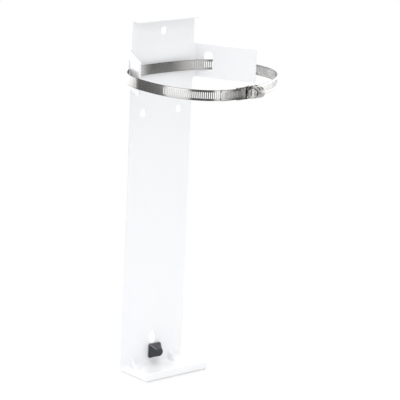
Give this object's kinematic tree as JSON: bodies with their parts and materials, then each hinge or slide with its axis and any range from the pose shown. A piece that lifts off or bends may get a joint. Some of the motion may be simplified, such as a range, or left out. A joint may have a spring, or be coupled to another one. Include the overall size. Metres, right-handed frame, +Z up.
{
  "type": "gas cylinder wall bracket",
  "caption": "Folded steel wall bracket with splayed slotted ears, a lipped foot and a perforated worm-drive strap that clasps a gas cylinder.",
  "frame": {"origin": "on the plate's back face, on its centreline, level with the pair of wall screw holes", "axes": "+Y into the wall, +Z up, +X along the wall to the right as seen from the front"},
  "size_m": [0.1762, 0.173, 0.4186],
  "materials": {
    "white_powder_coat": "gloss powder coat",
    "stainless_strap": "bright rolled",
    "plated_clamp": "bright stamped",
    "plated_screw": "zinc plated",
    "black_rubber": "matt"
  },
  "bodies": {
    "frame": {"bracket": "white_powder_coat", "strap": "stainless_strap", "clamp_saddle": "plated_clamp", "clamp_housing": "plated_clamp", "rubber_stop": "black_rubber"},
    "screw": {"worm_screw": "plated_screw"}
  },
  "joints": [
    {"name": "screw_turn", "type": "hinge", "parent": "frame", "child": "screw", "pos_m": [0.00093, -0.16581, 0.0514], "axis": [0.9815, 0.1912, 0], "continuous": true}
  ]
}
